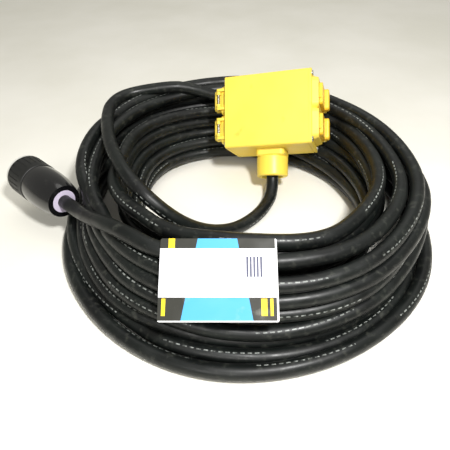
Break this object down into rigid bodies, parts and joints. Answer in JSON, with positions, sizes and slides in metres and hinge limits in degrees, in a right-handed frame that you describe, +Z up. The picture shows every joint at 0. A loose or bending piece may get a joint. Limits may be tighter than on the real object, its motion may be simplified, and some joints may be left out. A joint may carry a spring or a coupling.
{
  "type": "portable power distribution box",
  "caption": "Yellow outlet box with spring flip lids on two sides, lying on a thick coiled black cord with a locking plug and a hanging card.",
  "frame": {"origin": "on the table, at the middle of the coil", "axes": "+X to the right, +Y away from the front, where the card hangs, +Z up"},
  "size_m": [0.5129, 0.438, 0.1526],
  "materials": {
    "yellow_rubber": "smooth moulded, slight sheen",
    "yellow_plastic": "smooth moulded, satin",
    "gasket_rubber": "matte",
    "steel": "bright",
    "outlet_face": "matte",
    "inner_plastic": "matte",
    "brass": "satin",
    "cord_jacket": "matte with handling scuffs",
    "pale_ring": "matte",
    "black_gloss": "glossy",
    "black_plastic": "satin",
    "card": "printed card",
    "black_wire": "smooth",
    "white_wire": "smooth",
    "red_wire": "smooth",
    "green_wire": "smooth"
  },
  "bodies": {
    "box_and_cord": {"black_wire": "black_wire", "box_shell": "yellow_rubber", "cord_coil": "cord_jacket", "cord_end": "cord_jacket", "cord_lead": "cord_jacket", "cord_tail": "cord_jacket", "gland_grommet": "gasket_rubber", "gland_neck": "yellow_rubber", "gland_nut": "yellow_rubber", "green_wire": "green_wire", "info_card": "card", "left_cover_plate": "yellow_plastic", "left_lower_hinge_pin": "steel", "left_lower_lid_spring": "steel", "left_outlet_back": "inner_plastic", "left_outlet_face": "outlet_face", "left_outlet_yoke": "steel", "left_plate_gasket": "yellow_rubber", "left_plate_screws": "steel", "left_terminal_screws": "brass", "left_upper_hinge_pin": "steel", "left_upper_lid_spring": "steel", "left_yoke_screws": "steel", "plug_assembly_screw": "steel", "plug_blades": "brass", "plug_cord_clamp": "inner_plastic", "plug_cord_end": "cord_jacket", "plug_cord_ring": "pale_ring", "plug_face": "pale_ring", "plug_front_shell": "black_plastic", "plug_rear_cap": "black_gloss", "red_wire": "red_wire", "right_cover_plate": "yellow_plastic", "right_lower_hinge_pin": "steel", "right_lower_lid_spring": "steel", "right_outlet_back": "inner_plastic", "right_outlet_face": "outlet_face", "right_outlet_yoke": "steel", "right_plate_gasket": "yellow_rubber", "right_plate_screws": "steel", "right_terminal_screws": "brass", "right_upper_hinge_pin": "steel", "right_upper_lid_spring": "steel", "right_yoke_screws": "steel", "white_wire": "white_wire"},
    "left_upper_lid": {"left_upper_lid": "yellow_plastic", "left_upper_lid_seal": "gasket_rubber"},
    "left_lower_lid": {"left_lower_lid": "yellow_plastic", "left_lower_lid_seal": "gasket_rubber"},
    "right_upper_lid": {"right_upper_lid": "yellow_plastic", "right_upper_lid_seal": "gasket_rubber"},
    "right_lower_lid": {"right_lower_lid": "yellow_plastic", "right_lower_lid_seal": "gasket_rubber"}
  },
  "joints": [
    {"name": "left_upper_lid_hinge", "type": "hinge", "parent": "box_and_cord", "child": "left_upper_lid", "pos_m": [-0.03216, 0.12405, 0.10372], "axis": [0, 0.6884, 0.7254], "range_deg": [0, 90], "stiffness_Nm_per_rad": 0.01, "springref_deg": -34.38},
    {"name": "left_lower_lid_hinge", "type": "hinge", "parent": "box_and_cord", "child": "left_lower_lid", "pos_m": [-0.03216, 0.09727, 0.0755], "axis": [0, 0.6884, 0.7254], "range_deg": [0, 90], "stiffness_Nm_per_rad": 0.01, "springref_deg": -34.38},
    {"name": "right_upper_lid_hinge", "type": "hinge", "parent": "box_and_cord", "child": "right_upper_lid", "pos_m": [0.11116, 0.13293, 0.0953], "axis": [0, 0.6884, 0.7254], "range_deg": [0, 60], "stiffness_Nm_per_rad": 0.01, "springref_deg": -34.38},
    {"name": "right_lower_lid_hinge", "type": "hinge", "parent": "box_and_cord", "child": "right_lower_lid", "pos_m": [0.11116, 0.10615, 0.06708], "axis": [0, 0.6884, 0.7254], "range_deg": [0, 40], "stiffness_Nm_per_rad": 0.01, "springref_deg": -34.38}
  ]
}
